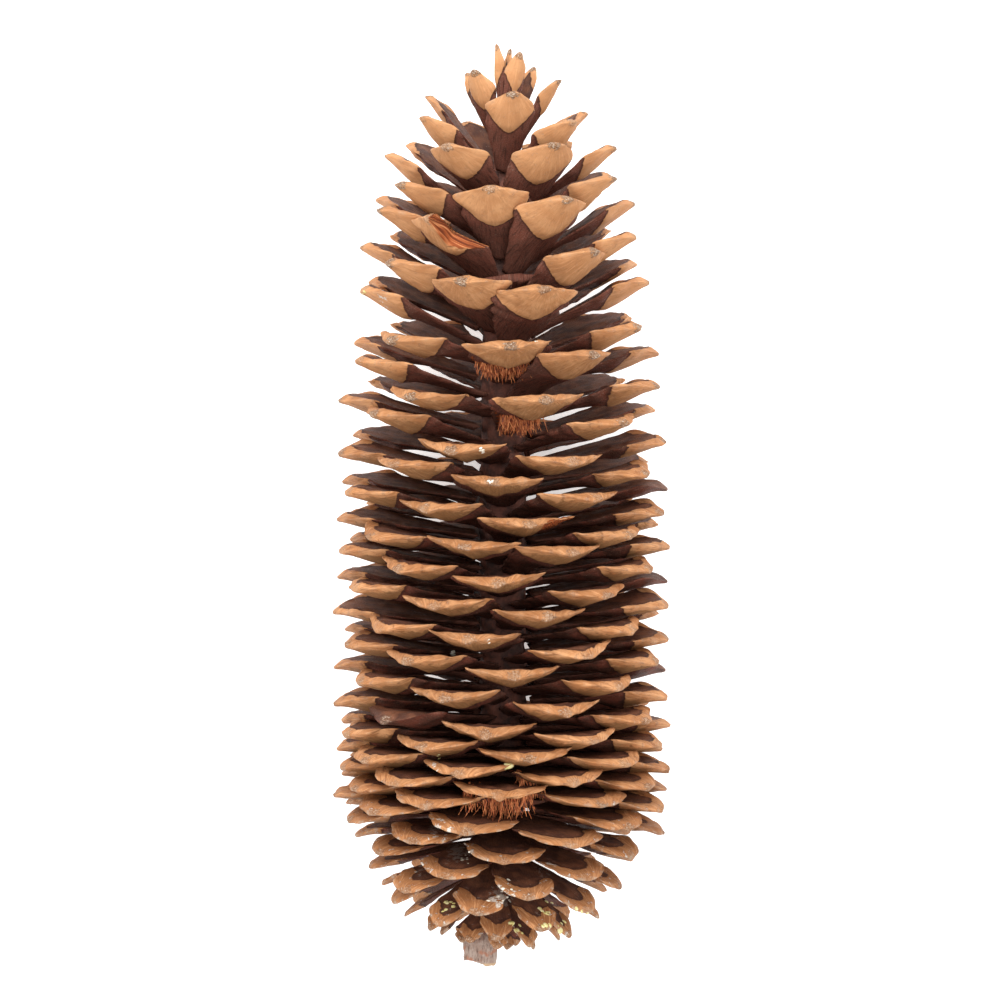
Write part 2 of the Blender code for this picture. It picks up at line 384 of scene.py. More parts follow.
def readPatterns(n):
    # what each scale's mesh carries, and the grain that follows it
    p = SimpleNamespace()
    p.across, p.fromTip, p.seed = n.attribute("scalePlace")
    p.cap, p.side, p.torn = n.attribute("scaleKind")
    p.tone, p.zone, p.front = n.attribute("scaleTone")
    p.smear, p.split, p.crown = n.attribute("scaleWear")
    p.worn = n.between(p.crown, 0.0, 1.0, 1.0, 0.60)
    p.flat = n.vector(p.across, p.fromTip, p.seed)
    longPlace = n.vector(p.across, n.times(p.fromTip, 0.11), p.seed)
    p.streak = n.noise(longPlace, 1.5, 3.0, 0.62)
    p.fineStreak = n.noise(longPlace, 5.0, 2.0, 0.6)
    turnRound = n.math("ARCTAN2", p.across, n.math("ADD", p.fromTip, 5.0))
    fanPlace = n.vector(n.times(turnRound, 14.0), n.times(p.fromTip, 0.10), p.seed)
    p.fan = n.noise(fanPlace, 1.3, 3.0, 0.65)
    p.fineFan = n.noise(fanPlace, 4.2, 2.0, 0.6)
    p.blotch = n.noise(p.flat, 0.17, 3.0, 0.55)
    p.grain = n.noise(p.flat, 2.2, 3.0, 0.6)
    p.patch = n.noise(p.flat, 0.42, 4.0, 0.66)
    waver = n.minus(n.noise(p.flat, 0.5, 2.0), 0.5)
    p.border = n.math("MULTIPLY_ADD", waver, 1.5, p.cap)
    p.capMask = n.between(p.border, -0.20, 0.20)
    splitPlace = n.vector(n.times(p.side, 5.0), n.times(p.fromTip, 0.03), p.seed)
    p.along = n.noise(splitPlace, 1.3, 3.0, 0.6)
    return p


def tanColour(n, p):
    # the smooth ends: browner and greyer toward the base, and darkened below the rim by painted
    # shade
    colours = scaleColours
    tan = n.mix(n.between(p.blotch, 0.36, 0.66), colours["tan"], colours["tanLight"])
    browned = n.math("MULTIPLY_ADD", p.zone, 0.28, n.times(p.tone, 0.50))
    browned = n.math("MULTIPLY_ADD", p.zone, n.between(p.blotch, 0.45, 0.60, 0.0, 0.40), browned)
    tan = n.mix(browned, tan, colours["tanBrown"])
    rays = n.times(n.between(p.fan, 0.50, 0.68, 0.0, 0.70), p.worn)
    tan = n.mix(rays, tan, colours["tanBrown"])
    fineRays = n.times(n.between(p.fineFan, 0.52, 0.70, 0.0, 0.50), p.worn)
    tan = n.mix(fineRays, tan, colours["tanDark"])
    tan = n.mix(n.between(p.fan, 0.47, 0.34, 0.0, 0.65), tan, colours["tanLight"])
    stains = n.times(n.between(p.patch, 0.55, 0.68, 0.0, 0.60), p.worn)
    tan = n.mix(stains, tan, colours["tanDark"])
    tan = n.mix(n.between(p.crown, 0.0, 1.0, 0.0, 0.45), tan, colours["tanLight"])
    dust = n.times(n.between(p.grain, 0.56, 0.70), n.between(p.patch, 0.50, 0.62))
    tan = n.mix(n.times(dust, 0.45), tan, colours["weathered"])
    rim = n.times(n.between(p.front, 1.3, 0.1), n.between(p.patch, 0.46, 0.60, 0.0, 0.65))
    rim = n.times(rim, n.between(p.zone, 0.0, 1.0, 0.25, 1.0))
    tan = n.mix(rim, tan, colours["weathered"])
    # painted shade: on the underside, a few mm behind the rim, the tan is darkened as if that half
    # lay out of the light
    uneven = n.math("MULTIPLY_ADD", n.minus(p.patch, 0.5), 9.0, p.front)
    low = n.times(n.between(uneven, 1.8, 4.4), n.between(p.side, 0.1, -0.2))
    low = n.times(low, n.between(p.streak, 0.35, 0.65, 0.55, 0.95))
    low = n.times(low, n.between(p.crown, 0.10, 0.60, 1.0, 0.10))
    return n.mix(low, tan, colours["tanPaintedShade"])


def bodyColour(n, p):
    # the dark striped wood behind the ends, warmer on the upper faces, and lightened deep inside by
    # painted fill light
    colours = scaleColours
    body = n.mix(n.between(p.blotch, 0.34, 0.66), colours["body"], colours["bodyRed"])
    body = n.mix(n.between(p.crown, 0.0, 1.0, 0.0, 0.75), body, colours["bodyCrown"])
    body = n.mix(n.between(p.streak, 0.47, 0.72, 0.0, 0.80), body, colours["bodyDark"])
    body = n.mix(n.between(p.grain, 0.54, 0.68, 0.0, 0.55), body, colours["bodyDark"])
    body = n.mix(n.between(p.grain, 0.44, 0.32, 0.0, 0.28), body, colours["speck"])
    body = n.mix(n.between(p.fineStreak, 0.56, 0.76, 0.0, 0.5), body, colours["bodyRed"])
    upper = n.mix(n.between(p.blotch, 0.35, 0.65), colours["upper"], colours["body"])
    upper = n.mix(n.between(p.streak, 0.50, 0.78, 0.0, 0.65), upper, colours["bodyDark"])
    upper = n.mix(n.between(p.fineStreak, 0.60, 0.78, 0.0, 0.30), upper, colours["tanDark"])
    body = n.mix(n.between(p.side, -0.05, 0.10), body, upper)
    specks = n.between(n.cells(p.flat, 0.60), 0.15, 0.08)
    specks = n.times(specks, n.between(p.patch, 0.48, 0.60, 0.0, 0.8))
    body = n.mix(specks, body, colours["speck"])
    # painted fill light: deep behind the tips, toward the core, the wood is lightened to stand in
    # for light reaching the gaps
    deep = n.times(n.between(p.fromTip, 26.0, 46.0, 0.0, 0.75), n.between(p.streak, 0.62, 0.45))
    return n.mix(deep, body, colours["bodyPaintedFill"])


def scarOn(n, p, colour):
    # the scar at the very tip, and how strongly it shows
    colours = scaleColours
    wide = n.math("DIVIDE", p.across, 2.5)
    deep = n.math("DIVIDE", n.minus(p.fromTip, 0.9), 1.5)
    reach = n.math("ADD", n.times(wide, wide), n.times(deep, deep))
    tipPlace = n.vector(p.across, n.math("MULTIPLY_ADD", p.side, 2.2, p.fromTip), p.seed)
    ragged = n.minus(n.noise(tipPlace, 0.95, 3.0, 0.7), 0.5)
    reach = n.math("ADD", reach, n.times(ragged, 7.0))
    mask = n.times(n.between(reach, 1.3, 0.4), n.between(p.tone, 0.0, 0.7, 0.35, 0.9))
    mask = n.times(mask, n.between(p.crown, 0.0, 0.4, 0.62, 1.0))
    spots = n.noise(tipPlace, 1.6, 3.0, 0.7)
    scar = n.mix(n.between(spots, 0.38, 0.48), colours["scarDark"], colours["scar"])
    scar = n.mix(n.between(spots, 0.50, 0.58), scar, colours["weathered"])
    scar = n.mix(n.between(spots, 0.60, 0.68, 0.0, 0.9), scar, colours["resin"])
    return n.mix(mask, colour, scar), mask


def resinFilm(n, p):
    # where dried resin lies: thickest on the lowest scales and where it ran
    level = n.minus(0.715, n.times(p.zone, 0.085))
    level = n.minus(level, n.times(p.smear, 0.24))
    film = n.between(n.minus(p.patch, level), 0.0, 0.045, 0.0, 0.85)
    near = n.math("MAXIMUM", n.between(p.front, 8.0, 4.0), n.between(p.smear, 0.1, 0.4))
    film = n.times(film, near)
    film = n.times(film, n.between(p.grain, 0.30, 0.60, 0.35, 1.0))
    return n.times(film, n.between(p.capMask, 0.0, 1.0, 0.25, 1.0))


def brokenWood(n, p, colour):
    # orange fibrous wood where a scale is torn or split
    colours = scaleColours
    fibre = n.mix(n.between(p.fineStreak, 0.40, 0.58), colours["tornDark"], colours["torn"])
    colour = n.mix(n.between(p.torn, 0.35, 0.65), colour, fibre)
    splitWood = n.mix(n.between(p.along, 0.38, 0.62), colours["tornDark"], colours["torn"])
    splitWood = n.mix(n.between(p.along, 0.50, 0.70), splitWood, colours["tanLight"])
    return n.mix(n.between(p.split, 0.4, 0.6), colour, splitWood)


def scaleRelief(n, p, scarMask, film):
    # the fine relief of grain, scar, resin and torn wood, as one height
    body = n.math("MULTIPLY_ADD", p.fineStreak, 0.35, n.times(p.streak, 0.75))
    tan = n.math("MULTIPLY_ADD", p.fineFan, 0.25, n.times(p.fan, 0.45))
    relief = n.math("MULTIPLY_ADD", n.minus(tan, body), p.capMask, body)
    relief = n.math("MULTIPLY_ADD", p.grain, 0.25, relief)
    relief = n.math("MULTIPLY_ADD", scarMask, n.times(p.grain, 1.4), relief)
    relief = n.math("MULTIPLY_ADD", p.capMask, 0.35, relief)
    relief = n.math("MULTIPLY_ADD", film, 0.5, relief)
    broken = n.math("MAXIMUM", p.torn, p.split)
    return n.math("MULTIPLY_ADD", broken, n.times(p.along, 2.2), relief)


def scaleMaterial():
    # tan ends with a crisp border, dark striped bodies, scars, resin and torn wood
    n = Nodes("scale wood")
    p = readPatterns(n)
    colour = n.mix(p.capMask, bodyColour(n, p), tanColour(n, p))
    # painted shadow: a dark line just outside the tan end's border, where its raised step would
    # cast shade
    stepShadow = n.times(n.between(p.border, -1.6, -0.3), n.between(p.border, 0.25, -0.1))
    colour = n.mix(n.times(stepShadow, 0.65), colour, scaleColours["bodyDark"])
    colour, scarMask = scarOn(n, p, colour)
    film = resinFilm(n, p)
    colour = n.mix(film, colour, scaleColours["resin"])
    rough = n.between(p.capMask, 0.0, 1.0, 0.56, 0.62)
    rough = n.math("ADD", rough, n.between(p.grain, 0.3, 0.7, -0.06, 0.08))
    rough = n.math("ADD", rough, n.times(film, -0.12))
    n.shader.inputs["Specular IOR Level"].default_value = 0.08
    return n.finish(brokenWood(n, p, colour), rough, scaleRelief(n, p, scarMask, film), 0.0005, 0.9)


# the form of one scale: heights are shares of its keel depth, places shares of its length
scaleForm = {
    "around": 28,
    "rings": 38,
    "fullWidth": 33.0,           # of a full-grown scale, mm
    "ringPlaces": ((0.0, 0.0), (0.34, 0.52), (0.94, 0.985), (1.0, 1.0)),
    "pointedWidths": ((0.0, 0.34), (0.10, 0.40), (0.36, 0.70), (0.62, 0.93), (0.77, 1.0),
                      (0.82, 0.93), (0.93, 0.48), (0.985, 0.21), (1.0, 0.0)),
    "bluntWidths": ((0.0, 0.34), (0.10, 0.40), (0.36, 0.70), (0.62, 0.93), (0.75, 1.0),
                    (0.83, 0.97), (0.92, 0.75), (0.975, 0.42), (1.0, 0.0)),
    "tops": ((0.0, 0.20), (0.20, 0.13), (0.42, 0.14), (0.62, 0.22), (0.80, 0.32), (1.0, 0.34)),
    "keels": ((0.0, -0.26), (0.30, -0.25), (0.50, -0.37), (0.585, -0.50), (0.62, -0.56),
              (0.66, -0.54), (0.79, -0.40), (0.92, -0.22), (1.0, -0.08)),
    "rims": ((0.0, 0.12), (0.40, 0.16), (0.60, 0.24), (0.77, 0.33), (0.88, 0.18), (1.0, -0.03)),
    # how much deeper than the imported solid's the keel is, by scale number
    "keelGrow": ((0, 1.0), (110, 1.0), (150, 1.35), (190, 1.55), (212, 1.1), (265, 1.0)),
    "corner": 0.77,              # where the side corners are
    "bevel": (1.8, 4.2),         # width of the slope above the rim, at the corners and the tip, mm
    "edge": 0.7,                 # thickness of the side edges, mm
    "edgeRound": 12,
    "bodyRound": 1.9,            # section of the keel: higher is fuller
    "tipRound": 1.35,
    "cornerLift": 0.9,           # how far the corners turn up, mm
    # how far the tan end reaches down the keel, by scale number
    "capReach": ((0, 0.46), (30, 0.45), (60, 0.40), (84, 0.34), (265, 0.31)),
    "capEdge": 0.25,             # and down the edges
    "capRound": 1.35,
    "capStep": 0.30,             # how far the tan end stands out, mm
    "overReach": (3.4, 5.4),     # the tan rim on the upper face, from the crown to the base, mm
    "overStart": 165,
    "overFull": 225,
    "roundedEnd": 17.0,          # radius of a blunt tip's bare upper face, mm
    "bareEnd": 60.0,             # takes the whole tan end away, mm
    "bluntFrom": (150, 200),     # scale numbers over which the tips grow blunt
    "bluntTo": (236, 250),       # and pointed again
    "ripple": 0.26,              # mm
    "marginRipple": 0.024,
    "skew": 0.05,
    "hook": (-0.2, 1.2),         # how far the tip droops, mm
    "hookStart": 0.84,
    "scarLift": 0.30,
    "crownFades": 95.0,          # scale number at which the crown's fresh colours end
}

# torn places on the undersides: scale, reach from the tip, sideways reach, mm
tornPlaces = {
    55: (24.0, 41.0, -13.0, 12.0),
    66: (24.0, 44.0, -13.0, 10.0),
    189: (13.0, 34.0, -12.0, 11.0),
    182: (17.0, 34.0, -13.0, -2.0),
    95: (0.0, 19.0, 5.0, 18.0),
}

# weathered scales whose ends have lost their tan skin
darkScales = (85, 114, 143, 156)

# what the scales' wood reads at each vertex
scalePatterns = ("scalePlace", "scaleKind", "scaleTone", "scaleWear")

# scales split lengthwise: how far they reach to either side, and the split's length, mm
splitScales = {
    33: (-14.0, 1.0, 15.0),
}

# dried white resin that ran over the wood: photo pixel, reach in pixels, strength
smears = (
    (458, 851, 12, 1.0),
    (500, 896, 12, 1.0),
    (438, 828, 12, 0.7),
    (420, 868, 10, 0.6),
    (545, 868, 12, 0.5),
    (432, 768, 12, 0.7),
    (386, 300, 9, 0.8),
    (418, 612, 10, 0.6),
)


def photoPixels(points):
    # where points in metres are seen in the photograph
    cameraHeight = view["distance"] + cone["axisHeight"] * millimetre
    near = view["distance"] / (cameraHeight - points[:, 2]) / view["pixel"]
    middle = 0.5 * view["pixels"]
    return (middle - (points[:, 1] - view["aimAside"]) * near,
            middle - (points[:, 0] - view["aimAlong"]) * near)


def scaleFacts(number):
    # everything that sets one scale apart, drawn in the same order as for the solid
    draw = random.Random(cone["seed"] + number)
    close = 1.0 if number < cone["closeScales"] else cone["closeSpread"]
    leanTurn, leanTilt = cone["leans"].get(number, (0.0, 0.0))
    spread = cone["turnSpread"]
    angle = math.radians(scaleAngle(number) + leanTurn + close * draw.uniform(-spread, spread))
    grown = [float(spline(cone["growth"], column, number)) for column in range(1, 7)]
    station, radius, length, tilt, width, depth = grown
    tilt += leanTilt + close * draw.uniform(-cone["tiltSpread"], cone["tiltSpread"])
    length *= 1.0 + draw.uniform(-cone["lengthSpread"], cone["lengthSpread"])
    roll = math.radians(close * (draw.uniform(-cone["rollSpread"], cone["rollSpread"])
                                 - cone["sideRoll"] * math.sin(angle)))
    grow = min(1.0, number / cone["crownScales"])
    bend = cone["crownBend"] + (cone["bend"] - cone["crownBend"]) * grow
    centre, along, up, aside = axisFrame(station)
    outward = math.cos(angle) * up + math.sin(angle) * aside
    return {
        "number": number,
        "length": length,
        "width": width,
        "depth": depth,
        "start": math.radians(tilt + cone["bendAtRoot"] * bend),
        "turn": -math.radians(bend),
        "roll": roll,
        "along": along,
        "outward": outward,
        "sideways": math.cos(angle) * aside - math.sin(angle) * up,
        "root": centre + radius * outward,
        "left": cone["stumps"].get(number, 1.0),
        "skew": draw.uniform(-1.0, 1.0) * scaleForm["skew"],
        "hook": draw.uniform(*scaleForm["hook"]),
        "cap": float(spline(scaleForm["capReach"], 1, number)) * draw.uniform(0.93, 1.07),
        "tone": draw.random(),
        "seed": draw.uniform(0.0, 90.0),
        "waves": [(draw.uniform(0.6, 2.6), draw.uniform(-2.6, 2.6), draw.uniform(0.0, 6.3))
                  for wave in range(5)],
    }


def halfWidths(facts, share, across):
    # from the middle to the side edges, with the uneven margin and the break of a stump
    form = scaleForm
    number = facts["number"]
    pointed = spline(form["pointedWidths"], 1, share)
    widths = pointed + facts["blunt"] * (spline(form["bluntWidths"], 1, share) - pointed)
    margin = sum(np.sin(19.0 * a * share + c + across * 1.7) for a, b, c in facts["waves"])
    wide = 0.5 * facts["width"] * np.maximum(widths, 0.0)
    wide = wide * (1.0 + form["marginRipple"] * margin * smooth(0.1, 0.6, share))
    if number in cone["stumps"]:
        wide = wide * (0.3 + 0.7 * smooth(facts["left"], 0.88 * facts["left"], share))
    return wide


def behindRim(facts, share, fromTip, sideways, wide):
    # how far each point lies behind the rim, which runs from the corners to the tip
    cornerWide = 0.5 * facts["width"]
    cornerBack = (1.0 - scaleForm["corner"]) * facts["length"]
    reach = math.hypot(cornerWide, cornerBack)
    behind = (fromTip * cornerWide - np.abs(sideways) * cornerBack) / reach
    nearTip = np.minimum(cornerBack / reach * (wide - np.abs(sideways)), fromTip)
    return np.where(share < scaleForm["corner"], behind, nearTip)


def insideTanEnd(facts, share, fromTip, sideShare, front, below):
    # how far each point lies inside the tan end's border, negative outside it
    form = scaleForm
    size = facts["size"]
    capKeel = facts["cap"] * facts["length"]
    capSide = form["capEdge"] * facts["length"]
    capBelow = capKeel - (capKeel - capSide) * sideShare ** form["capRound"] - fromTip
    lowReach, highReach = form["overReach"]
    over = (lowReach + (highReach - lowReach) * facts["grown"]) * (0.5 + 0.5 * size)
    arc = np.sqrt(sideShare ** 2 + (np.maximum(0.0, share - 0.62) / 0.38) ** 2)
    rounded = facts["blunt"] * smooth(0.62, 0.70, share)
    over = over * (0.75 + 0.5 * facts["tone"])
    capAbove = over * (1.0 - 0.25 * sideShare) - front
    capAbove = capAbove + rounded * (over - form["roundedEnd"] * size * (1.0 - arc) - capAbove)
    bare = form["bareEnd"] if facts["number"] in darkScales else 0.0
    return np.where(below, capBelow, capAbove) - bare


def scaleHeights(facts, share, across, sideShare, lift, front):
    # heights of the section's parts: the bevelled top, the rim, the edges and the keel
    form = scaleForm
    depth = facts["depth"]
    size = facts["size"]
    outer = np.abs(across)
    closing = np.sqrt(np.clip(1.0 - outer ** form["edgeRound"], 0.0, 1.0))
    rim = depth * spline(form["rims"], 1, share)
    top = depth * spline(form["tops"], 1, share)
    grow = float(spline(form["keelGrow"], 1, facts["number"]))
    keel = depth * spline(form["keels"], 1, share) * grow
    cornerBevel, tipBevel = form["bevel"]
    bevel = size * (tipBevel + (cornerBevel - tipBevel) * sideShare)
    upper = rim + (top - rim) * np.minimum(closing, smooth(0.0, 1.0, front / bevel))
    thick = form["edge"] * min(1.0, 1.3 * size) * closing * (1.0 - smooth(0.72, 0.86, share))
    full = form["bodyRound"] + (form["tipRound"] - form["bodyRound"]) * smooth(0.42, 0.64, share)
    lower = rim - thick - (rim - thick - keel) * (1.0 - outer ** full)
    height = np.where(lift < 0.0, lower, upper)
    cornerNear = np.exp(-((share - form["corner"]) / 0.10) ** 2) * outer ** 4
    return height + form["cornerLift"] * size * cornerNear, closing


def unevenWood(facts, share, fromTip, sideways, lift, cap, closing):
    # rolls and ridges of the wood, the step at the tan end's border, the scar's boss, the hook
    form = scaleForm
    size = facts["size"]
    rolls = sum(np.sin(0.45 * a * sideways + 0.16 * b * fromTip + c)
                for a, b, c in facts["waves"])
    ridges = np.sin(2.1 * sideways + facts["seed"]) * smooth(6.0, 18.0, fromTip)
    rough = form["ripple"] * size * (0.5 * rolls + 0.35 * ridges)
    rough = rough * closing * np.sign(lift)
    step = np.where(lift < 0.0, form["capStep"] * smooth(-0.9, 0.6, cap) * closing, 0.0)
    boss = np.exp(-(sideways / 2.4) ** 2 - ((fromTip - 1.0) / 1.5) ** 2)
    boss = form["scarLift"] * boss * np.sign(lift) * size
    hook = facts["hook"] * size * smooth(form["hookStart"], 1.05, share)
    return rough - step + boss - hook


def tornWood(facts, fromTip, sideways, below):
    # where a scale's underside is torn open, from 0 to 1
    near, far, left, right = tornPlaces[facts["number"]]
    ragged = fromTip + 1.6 * np.sin(1.9 * sideways + facts["seed"]) + 1.1 * np.sin(4.3 * sideways)
    inLength = smooth(near - 0.8, near + 0.8, ragged) * smooth(far + 1.0, far - 1.0, ragged)
    inWidth = smooth(left - 0.8, left + 0.8, sideways) * smooth(right + 0.8, right - 0.8, sideways)
    return inLength * inWidth * below


def bendScale(facts, share, sideways, height):
    # lays a flat scale along its curved middle line, rolled and turned into its place
    length = facts["length"]
    slope = facts["start"] + facts["turn"] * share
    out = length / facts["turn"] * (np.sin(slope) - math.sin(facts["start"]))
    rising = length / facts["turn"] * (math.cos(facts["start"]) - np.cos(slope))
    flatNormal = (np.cos(slope)[:, None] * facts["along"]
                  - np.sin(slope)[:, None] * facts["outward"])
    cosRoll, sinRoll = math.cos(facts["roll"]), math.sin(facts["roll"])
    normal = cosRoll * flatNormal + sinRoll * facts["sideways"]
    side = cosRoll * facts["sideways"] - sinRoll * flatNormal
    points = (facts["root"] + out[:, None] * facts["outward"] + rising[:, None] * facts["along"]
              + sideways[:, None] * side + height[:, None] * normal)
    points = points * millimetre
    points[:, 2] = np.maximum(points[:, 2], 0.0)
    return points


def resinSmears(points):
    # how much resin ran over each point of the cone's upper half
    pixelX, pixelY = photoPixels(points)
    inSight = points[:, 2] > cone["axisHeight"] * millimetre
    smear = np.zeros(len(points))
    for x, y, reach, strength in smears:
        near = np.exp(-((pixelX - x) ** 2 + (pixelY - y) ** 2) / reach ** 2)
        smear = np.maximum(smear, strength * near * inSight)
    return smear


def scaleSurface(facts, share, angle):
    # points by share of the length and angle round the section, with their pattern values
    form = scaleForm
    number = facts["number"]
    share = share * facts["left"]
    across = np.cos(angle)
    lift = np.sin(angle)
    below = lift < 0.0
    facts["size"] = facts["width"] / form["fullWidth"]
    facts["blunt"] = (float(smooth(*form["bluntFrom"], number))
                      * float(smooth(form["bluntTo"][1], form["bluntTo"][0], number)))
    facts["grown"] = float(smooth(form["overStart"], form["overFull"], number))

    wide = halfWidths(facts, share, across)
    sideways = across * wide
    fromTip = (1.0 - share) * facts["length"]
    leftCut, rightCut, cutLength = splitScales.get(number, (-99.0, 99.0, 99.0))
    widen = 1.6 * np.maximum(0.0, fromTip - cutLength)
    cutAway = (sideways > rightCut + widen) | (sideways < leftCut - widen)
    sideways = np.clip(sideways, leftCut - widen, rightCut + widen)
    sideShare = np.minimum(1.0, np.abs(sideways) / (0.5 * facts["width"]))
    front = behindRim(facts, share, fromTip, sideways, wide)
    cap = insideTanEnd(facts, share, fromTip, sideShare, front, below)

    height, closing = scaleHeights(facts, share, across, sideShare, lift, front)
    height = height + unevenWood(facts, share, fromTip, sideways, lift, cap, closing)
    torn = np.zeros_like(share)
    if number in tornPlaces:
        torn = tornWood(facts, fromTip, sideways, below)
        height = height + torn * closing * (1.1 + 0.5 * np.sin(5.0 * sideways) * facts["size"])

    sideways = sideways + facts["skew"] * facts["width"] * share ** 3
    points = bendScale(facts, share, sideways, height)
    alike = np.ones_like(share)
    crown = max(0.0, 1.0 - number / form["crownFades"])
    return {
        "points": points,
        "scalePlace": np.stack((sideways, fromTip, facts["seed"] * alike), 1),
        "scaleKind": np.stack((cap, lift, torn), 1),
        "scaleTone": np.stack((facts["tone"] * alike, facts["grown"] * alike, front), 1),
        "scaleWear": np.stack((resinSmears(points), np.where(cutAway, 1.0, 0.0),
                               crown * alike), 1),
    }


def scaleBlank():
    # the round blank that every scale is bent from, its poles the root and the tip
    bm = bmesh.new()
    bmesh.ops.create_uvsphere(bm, u_segments=scaleForm["around"], v_segments=scaleForm["rings"],
                              radius=1.0)
    mesh = meshFrom(bm, "blank")
    places = vertexPlaces(mesh)
    rise = 1.0 - np.arccos(np.clip(places[:, 2], -1.0, 1.0)) / math.pi
    known = scaleForm["ringPlaces"]
    share = np.interp(rise, [knot[0] for knot in known], [knot[1] for knot in known])
    angle = np.arctan2(places[:, 1], places[:, 0])
    return mesh, share, angle


# the zones of the cone, each a piece of its own: name, first scale, scale after the last
scaleZones = (
    ("crown_scales", 1, 45),
    ("upper_scales", 45, 100),
    ("middle_scales", 100, 155),
    ("lower_scales", 155, 210),
    ("base_scales", 210, cone["scaleCount"]),
)


def joinScales(name, blank, made, material):
    # one piece of many scales, each a blank whose vertices are set to its surface
    joined = bmesh.new()
    for one in made:
        joined.from_mesh(blank)
    mesh = meshFrom(joined, name)
    mesh.vertices.foreach_set("co", np.concatenate([one["points"] for one in made]).ravel())
    for pattern in scalePatterns:
        layer = mesh.attributes.new(pattern, "FLOAT_VECTOR", "POINT")
        layer.data.foreach_set("vector", np.concatenate([one[pattern] for one in made]).ravel())
    mesh.update()
    newPiece(name, mesh, material, "cone")
    print(name, "scales", len(made), "faces", len(mesh.polygons))


def makeScales(material):
    blank, share, angle = scaleBlank()
    for name, first, last in scaleZones:
        made = [scaleSurface(scaleFacts(number), share, angle) for number in range(first, last)]
        joinScales(name, blank, made, material)
    bpy.data.meshes.remove(blank)


# the core: a dark ribbed rod from the stalk to the crown
core = {
    "from": 11.8,
    "to": 309.0,
    "sides": 40,
    "cuts": 150,
    "relief": 1.5,
    "inset": 0.93,               # share of the solid's radius
    "colour": (0.060, 0.024, 0.017),
    "colourLight": (0.230, 0.078, 0.048),
    "roughness": 0.75,
}


def coreMaterial():
    n = Nodes("core wood")
    place = n.objectPlace()
    patches = n.noise(place, 160.0, 4.0, 0.6)
    colour = n.mix(n.between(patches, 0.35, 0.70), core["colour"], core["colourLight"])
    return n.finish(colour, core["roughness"], n.noise(place, 500.0, 3.0), 0.0006, 0.8)


def rod(first, last, sides, cuts):
    # an upright rod of unit radius, cut into rings, from one station to another
    bm = bmesh.new()
    bmesh.ops.create_cone(bm, cap_ends=True, cap_tris=False, segments=sides, radius1=1.0,
                          radius2=1.0, depth=1.0)
    upright = [edge for edge in bm.edges
               if abs(edge.verts[0].co.z - edge.verts[1].co.z) > 0.5]
    bmesh.ops.subdivide_edges(bm, edges=upright, cuts=cuts, use_grid_fill=True)
    for vert in bm.verts:
        vert.co.z = first + (vert.co.z + 0.5) * (last - first)
    return bm


def bendAlongAxis(bm, radiusAt):
    # sets each vertex of a rod round the cone's axis
    for vert in bm.verts:
        station = vert.co.z
        angle = math.atan2(vert.co.y, vert.co.x)
        share = math.hypot(vert.co.x, vert.co.y)
        centre, along, up, aside = axisFrame(station)
        radius = share * radiusAt(station, angle)
        place = centre + radius * (math.cos(angle) * up + math.sin(angle) * aside)
        vert.co = Vector(place * millimetre)


def makeCore():
    bm = rod(core["from"], core["to"], core["sides"], core["cuts"])
    stations = [row[1] for row in reversed(cone["growth"])]
    radii = [row[2] for row in reversed(cone["growth"])]

    def radiusAt(station, angle):
        rough = noise.noise(Vector((math.cos(angle) * 2.0, math.sin(angle) * 2.0, station * 0.25)))
        return core["inset"] * float(np.interp(station, stations, radii)) + core["relief"] * rough

    bendAlongAxis(bm, radiusAt)
    bmesh.ops.recalc_face_normals(bm, faces=bm.faces[:])
    newPiece("core", meshFrom(bm, "core"), coreMaterial(), "cone")
    print("core")


# the closed tip: two narrow blades, split apart at the end
bud = {
    "blades": (
        # turn round the axis, lean outward, length and width in mm, tone
        (-60.0, 0.8, 33.0, 6.2, 0.25),
        (118.0, 1.6, 31.5, 6.0, 0.6),
    ),
    "from": 308.0,
    "fromAxis": 1.1,
    "depth": 2.6,
    "bend": 3.0,                 # degrees
}


def makeBud(material):
    blank, share, angle = scaleBlank()
    centre, along, up, aside = axisFrame(bud["from"])
    made = []
    for turned, lean, length, width, tone in bud["blades"]:
        way = math.radians(turned)
        outward = math.cos(way) * up + math.sin(way) * aside
        facts = scaleFacts(1)
        facts.update({
            "length": length,
            "width": width,
            "depth": bud["depth"],
            "start": math.radians(90.0 - lean),
            "turn": -math.radians(bud["bend"]),
            "roll": 0.0,
            "outward": outward,
            "sideways": math.cos(way) * aside - math.sin(way) * up,
            "root": centre + bud["fromAxis"] * outward,
            "tone": tone,
        })
        made.append(scaleSurface(facts, share, angle))
    joinScales("closed_tip", blank, made, material)
    bpy.data.meshes.remove(blank)


# the stalk stub and its bark
stalk = {
    "length": 12.2,
    "radius": 6.1,
    "sides": 96,
    "cuts": 46,
    "crack": 0.88,
    "lump": 0.70,
    "flare": (0.7, 10.5, 4.0),   # rise, station and reach of the swelling at the cone, mm
    "rim": 0.9,                  # the cut end draws in at its rim
    "rimReach": 1.3,
    "bark": (0.270, 0.175, 0.135),
    "barkDark": (0.110, 0.066, 0.050),
    "barkPale": (0.40, 0.31, 0.26),
    "barkRed": (0.36, 0.145, 0.080),
    "knot": (5.4, -1.35, 1.5, 2.4),   # station, turn in radians, rise and reach in mm
    "ragged": 1.5,                # how unevenly the end is broken, mm
    "raggedReach": 5.0,
    "sharp": 50.0,               # degrees between faces that meet in a sharp edge
    "wood": (0.50, 0.34, 0.21),
    "roughness": 0.88,
}


